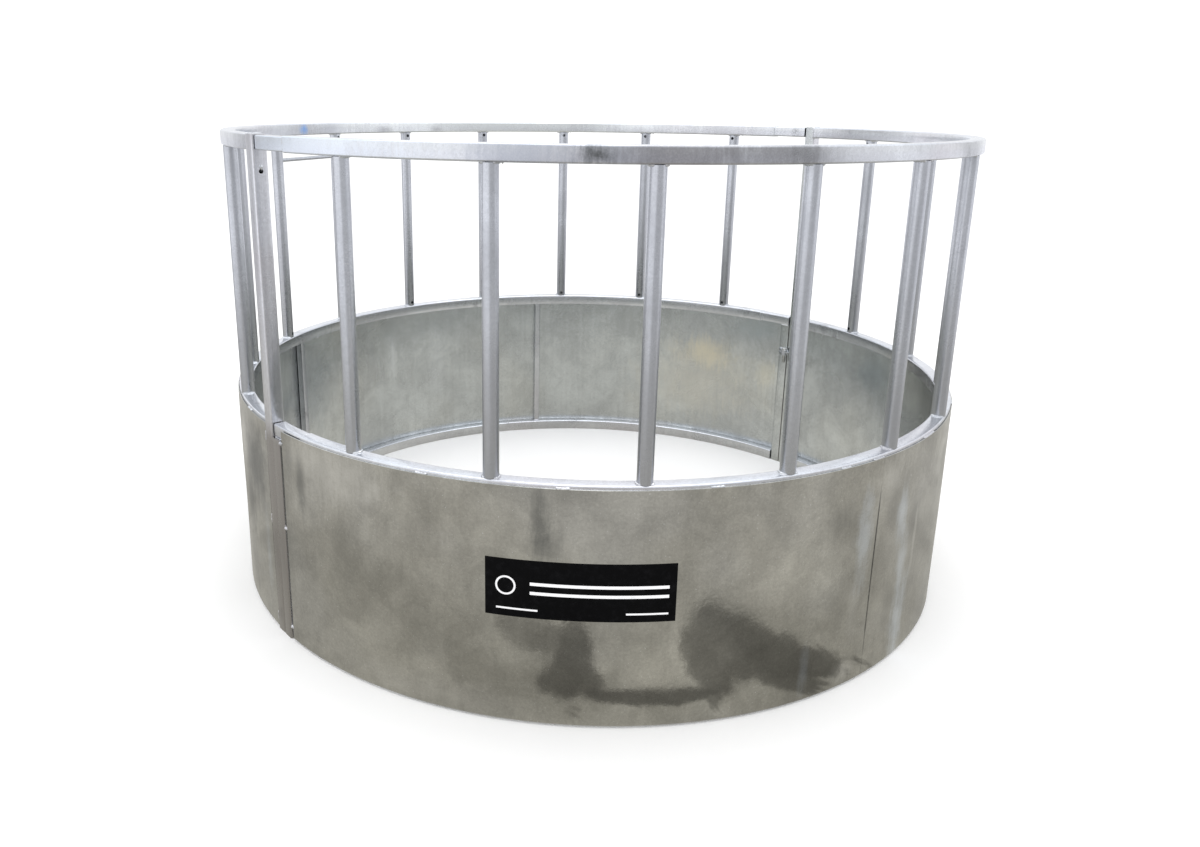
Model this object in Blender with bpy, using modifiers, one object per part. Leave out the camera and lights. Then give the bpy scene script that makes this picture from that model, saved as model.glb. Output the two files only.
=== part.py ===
"""Round bale feeder: a galvanised ring feeder in two alike halves that meet at two pinned joints.

Metres, +Z up. The origin is on the floor at the centre of the ring. The joints lie on the X axis:
the front half fills the -Y side and the back half, turned half a turn about Z, fills the +Y side.
Angles along a half are counted from its end-bar end (at 180 degrees for the front half).
"""

import math

import bmesh
import bpy
from mathutils import Matrix

# Overall sizes
RING_RADIUS = 1.000        # outer radius of the three rolled rings
TOTAL_HEIGHT = 1.215       # floor to the top of the top ring
SKIRT_RING_TOP = 0.555     # floor to the top of the middle ring

# Sections
BOX = 0.035                # square hollow section of the rings, the uprights and the end bars
BOX_WALL = 0.0025
END_PIECE_STEP = 0.00175   # the section that ends a ring at its joint is this much slimmer all round
BAR_DIAMETER = 0.0337      # round feed bars
BAR_WALL = 0.0026
BAR_SIDES = 16
SHEET = 0.0025             # skirt sheet
STIFFENER = 0.020          # square hollow stiffeners behind the skirt
STIFFENER_WALL = 0.002
LIFT_ROD_DIAMETER = 0.012
VENT_DIAMETER = 0.008      # galvanising vent holes
VENT_SIDES = 8

# Layout along one half, in degrees from its end-bar end
BAR_COUNT = 9
FIRST_BAR_DEG = 16.8
SECOND_BAR_DEG = 36.4
BAR_PITCH_DEG = 18.2
LIFT_ROD_AFTER_BAR = 6
STIFFENER_DEG = (60.0, 122.5)
SKIRT_SEAM_DEG = {"front": 88.2, "back": 94.8}

# Heights and lengths
SKIRT_BELOW_RING_TOP = 0.008
SKIRT_ABOVE_FLOOR = 0.006
LIFT_ROD_BELOW_RING = 0.072
VENT_FROM_END = 0.020
UPRIGHT_VENT_BELOW_RING = 0.045
END_PIECE_REACH = 0.125    # from the joint to the full ring
UPRIGHT_PROUD = 0.004      # uprights and end bars stand this far outside the rings
SKIRT_EDGE_SLOT = 0.012    # between the end bar and the edge of the first sheet
SEAM_GAP = 0.001

# Drop pin and its lugs
PIN_DIAMETER = 0.010
PIN_HEAD_DIAMETER = 0.020
PIN_HEAD_HEIGHT = 0.005
PIN_CHAMFER = 0.0025
PIN_BELOW_LUGS = 0.030
PIN_HOLE_CLEARANCE = 0.0008
PIN_INSIDE_POST = 0.015    # from the inner face of the posts to the pin's axis
LUG_BELOW_RING = 0.085     # from the underside of the middle ring to the upper lug
LUG_THICKNESS = 0.006
LUG_NOSE = 0.013           # radius of a lug round the pin
LUG_NOSE_FROM_DEG = 135    # where the round nose starts, from the side of the weld
LUG_NOSE_SWEEP_DEG = 195
LUG_NOSE_STEPS = 10
ROUND_STEPS = 16

# Label
LABEL_DEG = (36.0, 58.75)
LABEL_HEIGHT = 0.131
LABEL_MIDDLE = 0.321
LABEL_THICKNESS = 0.0005

# Clearances
TOUCH = 0.0003             # between pieces that are welded or rest on each other
JOINT_GAP = 0.001          # between the two halves
END_PIECE_GAP = {"front": 0.003, "back": 0.0005}  # between a ring's end and the neighbouring upright
LUG_GAP = 0.0005

FACET = math.radians(3.6)
FINE_FACET = math.radians(1.0)
SAG = RING_RADIUS * (1 - math.cos(FACET / 2))  # how far a facet dips below its arc

# Derived sizes
RING_INNER = RING_RADIUS - BOX
RING_MIDDLE = RING_RADIUS - BOX / 2
SKIRT_INNER = RING_RADIUS + SAG + TOUCH
SKIRT_OUTER = SKIRT_INNER + SHEET
TOP_RING_UNDERSIDE = TOTAL_HEIGHT - BOX
MID_RING_UNDERSIDE = SKIRT_RING_TOP - BOX
END_PIECE_BOX = BOX - 2 * END_PIECE_STEP
END_PIECE_INNER = RING_MIDDLE - END_PIECE_BOX / 2
END_BAR_TOP = MID_RING_UNDERSIDE + END_PIECE_STEP - TOUCH
POST_OUTER = RING_RADIUS + UPRIGHT_PROUD
POST_INNER = POST_OUTER - BOX
POST_NEAR = JOINT_GAP / 2
POST_FAR = POST_NEAR + BOX
PIN_RADIUS_PLACE = POST_INNER - PIN_INSIDE_POST
LUG_STACK_TOP = MID_RING_UNDERSIDE - LUG_BELOW_RING
ALONG_X = Matrix.Rotation(math.pi / 2, 3, "Y")
ALONG_Y = Matrix.Rotation(math.pi / 2, 3, "X")


def arc_angle(distance, radius):
    """The angle whose point on the radius lies this far from the joint's plane."""
    return math.asin(distance / radius)


RING_START = arc_angle(END_PIECE_REACH, RING_MIDDLE)
RING_AT_POST = arc_angle(POST_FAR + TOUCH, RING_INNER)


def clear_scene():
    for old in list(bpy.data.objects):
        bpy.data.objects.remove(old)


def new_collection(name):
    collection = bpy.data.collections.new(name)
    bpy.context.scene.collection.children.link(collection)
    return collection


def make_material(name, colour, roughness, metallic):
    material = bpy.data.materials.new(name)
    material.use_nodes = True
    shader = material.node_tree.nodes["Principled BSDF"]
    shader.inputs["Base Color"].default_value = (*colour, 1.0)
    shader.inputs["Roughness"].default_value = roughness
    shader.inputs["Metallic"].default_value = metallic
    return material


def add_object(name, data, material, parent=None, collection=None):
    obj = bpy.data.objects.new(name, data)
    data.materials.clear()
    data.materials.append(material)
    (collection or PARTS).objects.link(obj)
    obj.parent = parent
    return obj


def thicken(obj, thickness):
    """Gives an open surface a wall on its inner side."""
    solidify = obj.modifiers.new("wall", "SOLIDIFY")
    solidify.thickness = thickness
    solidify.offset = -1.0
    solidify.use_even_offset = True
    solidify.use_rim = True


def sweep(obj, start, end, facet):
    """Turns the object's profile about Z from start to end, in radians from the end-bar end."""
    steps = max(1, math.ceil((end - start) / facet - 1e-6))
    screw = obj.modifiers.new("arc", "SCREW")
    screw.angle = end - start
    screw.steps = steps
    screw.render_steps = steps
    screw.use_merge_vertices = False
    obj.rotation_euler.z = math.pi + start


def profile_mesh(name, points, closed):
    mesh = bpy.data.meshes.new(name)
    edges = [(i, i + 1) for i in range(len(points) - 1)]
    if closed:
        edges.append((len(points) - 1, 0))
    mesh.from_pydata([(radius, 0.0, height) for radius, height in points], edges, [])
    return mesh


def swept_box(name, size, wall, top, start, end, parent, material):
    """A square hollow section rolled to the ring's radius, its ends open."""
    outer = RING_MIDDLE + size / 2
    inner = RING_MIDDLE - size / 2
    bottom = top - size
    points = [(outer, top), (outer, bottom), (inner, bottom), (inner, top)]
    obj = add_object(name, profile_mesh(name, points, True), material, parent)
    sweep(obj, start, end, FACET)
    thicken(obj, wall)
    return obj


def curved_plate(name, outer, thickness, bottom, top, span, facet, parent, material):
    """A plate rolled about Z, given by its outer radius."""
    obj = add_object(name, profile_mesh(name, [(outer, top), (outer, bottom)], False), material, parent)
    sweep(obj, span[0], span[1], facet)
    thicken(obj, thickness)
    return obj


def box_mesh(name, size, open_faces):
    """A box centred on its own origin, without the faces that look along the given directions."""
    mesh = bpy.data.meshes.new(name)
    shape = bmesh.new()
    bmesh.ops.create_cube(shape, size=1.0)
    bmesh.ops.scale(shape, vec=size, verts=shape.verts)
    shape.normal_update()
    doomed = [f for f in shape.faces for d in open_faces if f.normal.z * d > 0.5]
    bmesh.ops.delete(shape, geom=doomed, context="FACES")
    shape.to_mesh(mesh)
    shape.free()
    return mesh


def add_cylinder(shape, radius, length, sides, capped):
    """Adds a cylinder along Z to a bmesh and returns its vertices."""
    made = bmesh.ops.create_cone(
        shape, cap_ends=capped, segments=sides, radius1=radius, radius2=radius, depth=length
    )
    return made["verts"]


def tube_mesh(name, radius, length, sides):
    mesh = bpy.data.meshes.new(name)
    shape = bmesh.new()
    add_cylinder(shape, radius, length, sides, False)
    shape.to_mesh(mesh)
    shape.free()
    return mesh


def cut_vents(name, target, places, turn):
    """Cuts round holes through one wall of the target, at places in the target's own frame."""
    mesh = bpy.data.meshes.new(name)
    shape = bmesh.new()
    for place in places:
        made = add_cylinder(shape, VENT_DIAMETER / 2, BOX / 2, VENT_SIDES, True)
        bmesh.ops.rotate(shape, verts=made, matrix=turn)
        bmesh.ops.translate(shape, verts=made, vec=place)
    shape.to_mesh(mesh)
    shape.free()
    cutter = add_object(name, mesh, MATERIALS["box"], target, CUTTERS)
    cutter.hide_render = True
    cutter.display_type = "WIRE"
    cut = target.modifiers.new("vents", "BOOLEAN")
    cut.operation = "DIFFERENCE"
    cut.object = cutter


def on_circle(radius, degrees):
    angle = math.pi + math.radians(degrees)
    return radius * math.cos(angle), radius * math.sin(angle), angle


def bar_angles():
    return [FIRST_BAR_DEG] + [SECOND_BAR_DEG + BAR_PITCH_DEG * i for i in range(BAR_COUNT - 1)]


def add_rings(half, parent):
    post = math.pi - RING_AT_POST
    box = MATERIALS["box"]
    swept_box(f"{half}_top_ring", BOX, BOX_WALL, TOTAL_HEIGHT, RING_START, post, parent, box)
    swept_box(f"{half}_mid_ring", BOX, BOX_WALL, SKIRT_RING_TOP, RING_START, post, parent, box)
    swept_box(f"{half}_low_ring", BOX, BOX_WALL, BOX, RING_AT_POST, post, parent, box)


def add_end_pieces(half, parent):
    start = arc_angle(POST_NEAR + END_PIECE_GAP[half], END_PIECE_INNER)
    end = RING_START - TOUCH / RING_MIDDLE
    for level, ring_top in (("top", TOTAL_HEIGHT), ("mid", SKIRT_RING_TOP)):
        name = f"{half}_{level}_end_piece"
        top = ring_top - END_PIECE_STEP
        swept_box(name, END_PIECE_BOX, BOX_WALL, top, start, end, parent, MATERIALS["box"])


def add_skirt(half, parent):
    seam = math.radians(SKIRT_SEAM_DEG[half])
    half_gap = SEAM_GAP / 2 / SKIRT_OUTER
    first = arc_angle(POST_FAR + SKIRT_EDGE_SLOT, SKIRT_OUTER)
    last = math.pi - arc_angle(POST_FAR + TOUCH, SKIRT_INNER)
    top = SKIRT_RING_TOP - SKIRT_BELOW_RING_TOP
    spans = {"first": (first, seam - half_gap), "second": (seam + half_gap, last)}
    for which, span in spans.items():
        curved_plate(
            f"{half}_{which}_skirt_sheet",
            SKIRT_OUTER,
            SHEET,
            SKIRT_ABOVE_FLOOR,
            top,
            span,
            FACET,
            parent,
            MATERIALS["sheet"],
        )


def add_bars(half, parent):
    length = TOP_RING_UNDERSIDE - SKIRT_RING_TOP - 2 * TOUCH
    middle = (TOP_RING_UNDERSIDE + SKIRT_RING_TOP) / 2
    vent = length / 2 - VENT_FROM_END
    for number, degrees in enumerate(bar_angles(), start=1):
        name = f"{half}_feed_bar_{number}"
        x, y, angle = on_circle(RING_MIDDLE, degrees)
        mesh = tube_mesh(name, BAR_DIAMETER / 2, length, BAR_SIDES)
        bar = add_object(name, mesh, MATERIALS["tube"], parent)
        bar.location = (x, y, middle)
        bar.rotation_euler.z = angle
        thicken(bar, BAR_WALL)
        places = [(-BAR_DIAMETER / 2, 0.0, side * vent) for side in (-1, 1)]
        cut_vents(f"{name}_vents", bar, places, ALONG_X)


def add_stiffeners(half, parent):
    height = MID_RING_UNDERSIDE - BOX - 2 * TOUCH
    for number, degrees in enumerate(STIFFENER_DEG, start=1):
        name = f"{half}_skirt_stiffener_{number}"
        x, y, angle = on_circle(RING_RADIUS - TOUCH - STIFFENER / 2, degrees)
        mesh = box_mesh(name, (STIFFENER, STIFFENER, height), (-1, 1))
        post = add_object(name, mesh, MATERIALS["box"], parent)
        post.location = (x, y, (MID_RING_UNDERSIDE + BOX) / 2)
        post.rotation_euler.z = angle
        thicken(post, STIFFENER_WALL)


def add_upright(half, parent):
    """The full-height post at the far end from the end bar, closed at the top."""
    name = f"{half}_upright"
    mesh = box_mesh(name, (BOX, BOX, TOTAL_HEIGHT), (-1,))
    post = add_object(name, mesh, MATERIALS["box"], parent)
    post.location = ((POST_INNER + POST_OUTER) / 2, -(POST_NEAR + POST_FAR) / 2, TOTAL_HEIGHT / 2)
    thicken(post, BOX_WALL)
    vent_height = TOP_RING_UNDERSIDE - UPRIGHT_VENT_BELOW_RING - TOTAL_HEIGHT / 2
    cut_vents(f"{name}_vents", post, [(0.0, BOX / 2, vent_height)], ALONG_Y)


def add_end_bar(half, parent):
    """The short post that carries the end of the middle ring."""
    name = f"{half}_end_bar"
    mesh = box_mesh(name, (BOX, BOX, END_BAR_TOP), (-1, 1))
    post = add_object(name, mesh, MATERIALS["box"], parent)
    post.location = (-(POST_INNER + POST_OUTER) / 2, -(POST_NEAR + POST_FAR) / 2, END_BAR_TOP / 2)
    thicken(post, BOX_WALL)


def add_lift_rod(half, parent):
    """A plain rod welded between two neighbouring feed bars, just below the top ring."""
    angles = bar_angles()
    first, second = angles[LIFT_ROD_AFTER_BAR - 1], angles[LIFT_ROD_AFTER_BAR]
    half_step = math.radians(second - first) / 2
    chord = 2 * RING_MIDDLE * math.sin(half_step)
    length = chord - BAR_DIAMETER - 2 * TOUCH
    x, y, angle = on_circle(RING_MIDDLE * math.cos(half_step), (first + second) / 2)
    curve = bpy.data.curves.new(f"{half}_lift_rod", "CURVE")
    curve.dimensions = "3D"
    curve.bevel_depth = LIFT_ROD_DIAMETER / 2
    curve.bevel_resolution = 3
    curve.use_fill_caps = True
    spline = curve.splines.new("POLY")
    spline.points.add(1)
    spline.points[0].co = (0.0, -length / 2, 0.0, 1.0)
    spline.points[1].co = (0.0, length / 2, 0.0, 1.0)
    rod = add_object(f"{half}_lift_rod", curve, MATERIALS["tube"], parent)
    rod.location = (x, y, TOP_RING_UNDERSIDE - LIFT_ROD_BELOW_RING)
    rod.rotation_euler.z = angle


def add_lug(name, weld, side, bottom, parent):
    """A flat tab: its straight edge is welded on, and its round nose holds the pin's hole."""
    pin_x = side * PIN_RADIUS_PLACE
    outline = list(weld)
    for i in range(LUG_NOSE_STEPS + 1):
        angle = math.radians(LUG_NOSE_FROM_DEG - LUG_NOSE_SWEEP_DEG * i / LUG_NOSE_STEPS)
        outline.append((pin_x - side * LUG_NOSE * math.cos(angle), LUG_NOSE * math.sin(angle)))
    hole_radius = PIN_DIAMETER / 2 + PIN_HOLE_CLEARANCE
    hole = []
    for i in range(ROUND_STEPS):
        angle = math.tau * i / ROUND_STEPS
        hole.append((pin_x + hole_radius * math.cos(angle), hole_radius * math.sin(angle)))
    curve = bpy.data.curves.new(name, "CURVE")
    curve.dimensions = "2D"
    curve.fill_mode = "BOTH"
    curve.extrude = LUG_THICKNESS / 2
    for loop in (outline, hole):
        spline = curve.splines.new("POLY")
        spline.points.add(len(loop) - 1)
        spline.use_cyclic_u = True
        for point, (x, y) in zip(spline.points, loop):
            point.co = (x, y, 0.0, 1.0)
    lug = add_object(name, curve, MATERIALS["box"], parent)
    lug.location.z = bottom + LUG_THICKNESS / 2


def add_lugs(half, parent):
    """Two lugs on the end bar make a fork; the upright at the other end carries the tongue."""
    face = POST_INNER - TOUCH
    fork_weld = [(-face, -POST_FAR), (-face, -POST_NEAR)]
    tongue_weld = [(face, -POST_FAR), (face, -POST_NEAR)]
    step = LUG_THICKNESS + LUG_GAP
    add_lug(f"{half}_fork_upper_lug", fork_weld, -1, LUG_STACK_TOP - LUG_THICKNESS, parent)
    add_lug(f"{half}_fork_lower_lug", fork_weld, -1, LUG_STACK_TOP - LUG_THICKNESS - 2 * step, parent)
    add_lug(f"{half}_tongue_lug", tongue_weld, 1, LUG_STACK_TOP - LUG_THICKNESS - step, parent)


def add_drop_pin(half, parent):
    """A headed pin that drops through the fork and the other half's tongue."""
    shank = 3 * LUG_THICKNESS + 2 * LUG_GAP + PIN_BELOW_LUGS
    radius = PIN_DIAMETER / 2
    points = [
        (0.0, PIN_HEAD_HEIGHT),
        (PIN_HEAD_DIAMETER / 2, PIN_HEAD_HEIGHT),
        (PIN_HEAD_DIAMETER / 2, 0.0),
        (radius, 0.0),
        (radius, PIN_CHAMFER - shank),
        (radius - PIN_CHAMFER, -shank),
        (0.0, -shank),
    ]
    name = f"{half}_drop_pin"
    pin = add_object(name, profile_mesh(name, points, False), MATERIALS["pin"], parent)
    pin.location = (-PIN_RADIUS_PLACE, 0.0, LUG_STACK_TOP + TOUCH)
    screw = pin.modifiers.new("turn", "SCREW")
    screw.steps = ROUND_STEPS
    screw.render_steps = ROUND_STEPS
    screw.use_merge_vertices = True
    screw.merge_threshold = 0.00005


def add_label(parent):
    curved_plate(
        "front_label",
        SKIRT_OUTER + TOUCH + LABEL_THICKNESS,
        LABEL_THICKNESS,
        LABEL_MIDDLE - LABEL_HEIGHT / 2,
        LABEL_MIDDLE + LABEL_HEIGHT / 2,
        (math.radians(LABEL_DEG[0]), math.radians(LABEL_DEG[1])),
        FINE_FACET,
        parent,
        MATERIALS["label"],
    )


def add_half(half, turn):
    frame = bpy.data.objects.new(f"{half}_half", None)
    frame.empty_display_size = 0.1
    frame.rotation_euler.z = turn
    PARTS.objects.link(frame)
    add_rings(half, frame)
    add_end_pieces(half, frame)
    add_skirt(half, frame)
    add_bars(half, frame)
    add_stiffeners(half, frame)
    add_upright(half, frame)
    add_end_bar(half, frame)
    add_lift_rod(half, frame)
    add_lugs(half, frame)
    add_drop_pin(half, frame)
    return frame


def shade_round_pieces():
    for obj in PARTS.objects:
        if obj.type == "MESH" and ("feed_bar" in obj.name or "drop_pin" in obj.name):
            obj.data.shade_smooth()
            obj.data.set_sharp_from_angle(angle=math.radians(40))


clear_scene()
PARTS = new_collection("round_bale_feeder")
CUTTERS = new_collection("cutters")
MATERIALS = {
    "box": make_material("galvanised_box", (0.68, 0.70, 0.72), 0.38, 0.85),
    "tube": make_material("galvanised_tube", (0.66, 0.68, 0.71), 0.35, 0.85),
    "sheet": make_material("galvanised_sheet", (0.52, 0.51, 0.47), 0.32, 0.85),
    "pin": make_material("plated_pin", (0.60, 0.60, 0.60), 0.30, 0.90),
    "label": make_material("label_film", (0.02, 0.02, 0.02), 0.45, 0.0),
}
front = add_half("front", 0.0)
add_half("back", math.pi)
add_label(front)
shade_round_pieces()
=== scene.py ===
"""Round bale feeder: the finished look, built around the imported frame.

Metres, +Z up, floor at z = 0. Places and sizes are read from the frame's solids. Angles along a half are
counted from its end-bar end, as in the frame: 180 degrees on for the front half, 0 for the back half.
"""

import math
import random

import bmesh
import bpy
from mathutils import Matrix, Vector, noise


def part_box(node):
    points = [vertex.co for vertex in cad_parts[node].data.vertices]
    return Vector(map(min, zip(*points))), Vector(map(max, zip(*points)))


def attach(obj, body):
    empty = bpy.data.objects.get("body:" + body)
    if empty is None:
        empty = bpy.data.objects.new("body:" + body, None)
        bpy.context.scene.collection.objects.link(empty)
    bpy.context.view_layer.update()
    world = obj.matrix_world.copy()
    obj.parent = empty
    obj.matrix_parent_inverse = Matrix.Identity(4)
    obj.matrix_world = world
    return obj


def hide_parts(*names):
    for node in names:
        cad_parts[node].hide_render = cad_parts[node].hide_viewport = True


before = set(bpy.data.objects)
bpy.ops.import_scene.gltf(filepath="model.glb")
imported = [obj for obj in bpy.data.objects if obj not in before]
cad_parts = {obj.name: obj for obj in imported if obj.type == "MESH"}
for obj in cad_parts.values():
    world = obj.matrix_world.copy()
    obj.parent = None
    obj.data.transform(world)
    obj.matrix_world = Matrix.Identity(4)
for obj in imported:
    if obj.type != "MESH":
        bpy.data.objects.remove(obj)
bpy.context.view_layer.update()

BODY = "feeder"
HALVES = {"front": math.pi, "back": 0.0}
BAR_COUNT = 9

# Sections
WALL = 0.0025
CORNER_RADIUS = 0.0042
END_PIECE_CORNER = 0.0038
STIFFENER_CORNER = 0.0025
STIFFENER_WALL = 0.002
STIFFENER_FIT = 0.995
CORNER_STEPS = 4
ARC_STEP = math.radians(1.0)
SHEET_STEP = math.radians(0.8)
SHEET_ROWS = 26
SHEET_EDGE = 0.0006
SHEET_WAVE = 0.0017
SEAM_FILL = 0.0009
BAR_SIDES = 48
BAR_WALL = 0.0026
BAR_END = 0.05
VENT_SIDES = 20
VENT_RADIUS = 0.0052
VENT_FROM_END = 0.011
UPRIGHT_VENT_BELOW_RING = 0.045
ROD_SIDES = 24
CAP_BEVEL = 0.0012
LUG_BEVEL = 0.0009
PIN_RADIUS = 0.005
PIN_HEAD = 0.005
PIN_CHAMFER = 0.0025
PIN_SOFT_EDGE = 0.0012
PIN_DISH = (0.55, 0.75)
PIN_SIDES = 32
SMOOTH_DEG = 35
FILM_BACK = 0.0002
FILM_FACE = 0.0008

# Welds
BEAD_SIDES = 8
BEAD_SPACING = 0.0022
BAR_BEAD = 0.0030
RING_BEAD = 0.0024
END_PIECE_BEAD = 0.0020
STIFFENER_BEAD = 0.0018
ROD_BEAD = 0.0020
STITCH_BEAD = 0.0022
BRIDGE_BEAD = 0.0042
STITCHES_DEG = ((27.0, 28.6), (44.2, 46.0), (62.2, 64.0), (80.4, 82.0), (86.2, 88.4), (99.0, 102.6),
                (117.4, 119.2), (135.6, 137.2), (153.8, 155.4), (170.0, 171.8))
BRIDGE_HEIGHTS = (0.035, 0.30, 0.515)
BRIDGE_SLOT = 0.009
BRIDGE_SHARES = (-0.2, 0.4, 1.4)
BRIDGE_SINK = 0.0016
TICK_REACH = 0.012
BEAD_LIFT = 0.0006
STITCH_LIFT = 0.0008
STITCH_END = 1.7
BAR_BEAD_TURNS_DEG = range(-54, 55, 6)
END_BAR_WELD_INSET = (0.006, 0.004)
LUG_WELD_INSET = 0.004

# Zinc drops
DROP_CHANCE = 0.5
VENT_PLUG_RISE = 0.009
VENT_PLUG_PROUD = 0.0005
VENT_PLUG = (0.0042, 0.0050)

# Label, as shares of its length and height where not in metres
LABEL_COLUMNS = 60
LABEL_ROWS = 16
LABEL_LINE = 0.0018
LABEL_SOFT = 0.0006
LABEL_RING_LEFT = 0.39
LABEL_RING_RISE = 0.04
LABEL_RING_SIZE = 0.15
LABEL_RULES = (  # middle, half length, level, weight
    (0.10, 0.36, 0.10, 1.8),
    (0.10, 0.36, -0.06, 1.8),
    (-0.33, 0.11, -0.36, 1.0),
    (0.35, 0.11, -0.36, 1.0),
)
FILM_TONES = ((0.0015, 0.0015, 0.002), (0.005, 0.005, 0.006))
PRINT_TONES = ((0.82, 0.82, 0.83), (0.70, 0.70, 0.71))
FILM_RELIEF = 0.0001
FILM_GLOSS = 0.08

# Camera
CAMERA_SENSOR = 36.0
CAMERA_TURN_DEG = -42.29
CAMERA_DISTANCE = 2.778
CAMERA_HEIGHT = 1.286
CAMERA_YAW_DEG = -3.23
CAMERA_PITCH_DEG = 15.85
CAMERA_ROLL_DEG = 0.59
CAMERA_LENS = 28.82
CAMERA_SHIFT = (0.053, -0.040)

# Stage: how bright things are to the eye, and what the metal mirrors
FLOOR_RADIUS = 40.0
FLOOR_TONE = (0.90, 0.90, 0.90, 1.0)
GROUND_RINGS = (
    ((0.85, 1.05), (0.45, 0.44, 0.405)),
    ((1.15, 1.90), (0.56, 0.55, 0.52)),
)
GROUND_CENTRE_TONE = (0.60, 0.595, 0.56)
GROUND_FAR = ((2.0, 6.0), (0.97, 0.98, 1.03))
STUDIO_TONE = (1.30, 1.30, 1.30)
WALL_TONE = (0.97, 0.98, 1.0)
WALL_BASE = 0.62
PALE_WALLS = ((50.0, 38.0, 26.0, 0.38), (176.0, 34.0, 20.0, 0.46), (322.0, 20.0, 18.0, 0.36))
CEILING_TONE = (1.10, 1.14, 1.20)
CEILING_FROM = (0.12, 0.55)
OVERHEAD_HEIGHT = 5.0
OVERHEAD_SIZE = 5.0
OVERHEAD_POWER = 90.0

# Tones of the zinc, and of the painted reflections, highlights and shade laid on it
RING_OUTER_FACE = 0.997
RING_INNER_FACE = 0.968
# Dark, pale, mauve and dusk tones are painted reflections, blue is painted highlight and sheen, the seam tone
# is painted shade; specks and smudges are the zinc's own
DARK_TONE = (0.15, 0.155, 0.155)
PALE_TONE = (0.80, 0.79, 0.76)
BLUE_TONE = (0.86, 0.92, 1.0)
MAUVE_TONE = (0.50, 0.52, 0.57)
DUSK_TONE = (0.36, 0.355, 0.37)
# Painted shade: the dark line down each skirt seam stands for the shaded gap between two sheets
SEAM_SHADE_TONE = (0.04, 0.04, 0.04)
SPECK_TONE = (0.93, 0.95, 0.98)
SMUDGE_TONE = (0.12, 0.12, 0.13)
RELIEF_DEPTH = 0.00022

# Painted reflections, highlights and shade laid on the zinc: (degrees along the half, height), (reach in
# degrees, reach in metres), tone, strength
# The skirt's outside: dark and pale painted reflections, blue painted highlights and painted shade in the
# seams
OUTSIDE_PAINTED_REFLECTIONS = {
    "front": (
        ((13.0, 0.500), (12.0, 0.090), PALE_TONE, 0.75),
        ((1.0, 0.330), (3.5, 0.280), DARK_TONE, 0.40),
        ((7.0, 0.440), (1.4, 0.110), DARK_TONE, 0.60),
        ((4.0, 0.480), (2.0, 0.050), DARK_TONE, 0.35),
        ((42.6, 0.470), (1.6, 0.090), DARK_TONE, 0.65),
        ((43.4, 0.420), (3.0, 0.060), DARK_TONE, 0.50),
        ((95.0, 0.300), (13.0, 0.360), PALE_TONE, 0.20),
        ((92.0, 0.420), (2.6, 0.070), DARK_TONE, 0.30),
        ((98.5, 0.360), (3.0, 0.080), DARK_TONE, 0.35),
        ((93.0, 0.170), (2.2, 0.090), DARK_TONE, 0.25),
        ((81.0, 0.430), (5.0, 0.050), DARK_TONE, 0.25),
        # Painted shade down the seam between the two sheets
        ((88.25, 0.275), (0.20, 0.330), SEAM_SHADE_TONE, 1.00),
        ((96.6, 0.085), (2.7, 0.160), BLUE_TONE, 1.00),
        ((95.8, 0.240), (1.7, 0.140), BLUE_TONE, 0.70),
        ((94.4, 0.380), (1.8, 0.110), BLUE_TONE, 0.70),
        ((99.4, 0.300), (0.6, 0.110), PALE_TONE, 0.70),
        ((90.5, 0.490), (4.5, 0.060), PALE_TONE, 0.55),
        ((85.8, 0.360), (2.0, 0.150), BLUE_TONE, 0.60),
        ((85.0, 0.200), (1.6, 0.120), PALE_TONE, 0.35),
        ((77.0, 0.080), (1.0, 0.070), BLUE_TONE, 0.50),
        ((84.5, 0.040), (3.0, 0.040), PALE_TONE, 0.55),
        ((26.0, 0.040), (16.0, 0.050), PALE_TONE, 0.30),
    ),
    "back": (
        ((171.5, 0.400), (7.0, 0.160), DARK_TONE, 1.00),
        ((168.0, 0.300), (4.0, 0.130), DARK_TONE, 0.80),
        ((166.0, 0.120), (6.0, 0.140), DARK_TONE, 0.55),
        ((165.0, 0.400), (2.5, 0.120), PALE_TONE, 0.50),
        ((176.0, 0.200), (1.2, 0.130), BLUE_TONE, 0.40),
        ((58.0, 0.300), (9.0, 0.150), DARK_TONE, 0.45),
        ((110.0, 0.250), (12.0, 0.110), PALE_TONE, 0.35),
        # Painted shade down the seam between the two sheets
        ((94.8, 0.275), (0.20, 0.330), SEAM_SHADE_TONE, 1.00),
    ),
}
# The skirt's inside: painted light and reflections, with warm and pale brightening, a bluish tint near the
# top and darker patches
INSIDE_PAINTED_REFLECTIONS = {
    "front": (((157.0, 0.430), (9.0, 0.080), (0.40, 0.46, 0.50), 0.60),),
    "back": (
        ((22.0, 0.230), (18.0, 0.200), (0.84, 0.82, 0.74), 0.65),
        ((20.5, 0.350), (7.5, 0.075), (0.95, 0.88, 0.70), 0.80),
        ((6.0, 0.310), (3.5, 0.080), (0.92, 0.88, 0.74), 0.50),
        ((8.0, 0.480), (9.0, 0.060), (0.60, 0.67, 0.70), 0.50),
        ((84.0, 0.300), (3.0, 0.200), (0.86, 0.89, 0.92), 0.30),
        ((95.0, 0.370), (0.8, 0.120), (0.90, 0.93, 0.97), 0.45),
        ((118.0, 0.330), (8.0, 0.160), (0.48, 0.53, 0.56), 0.40),
    ),
}
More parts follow.
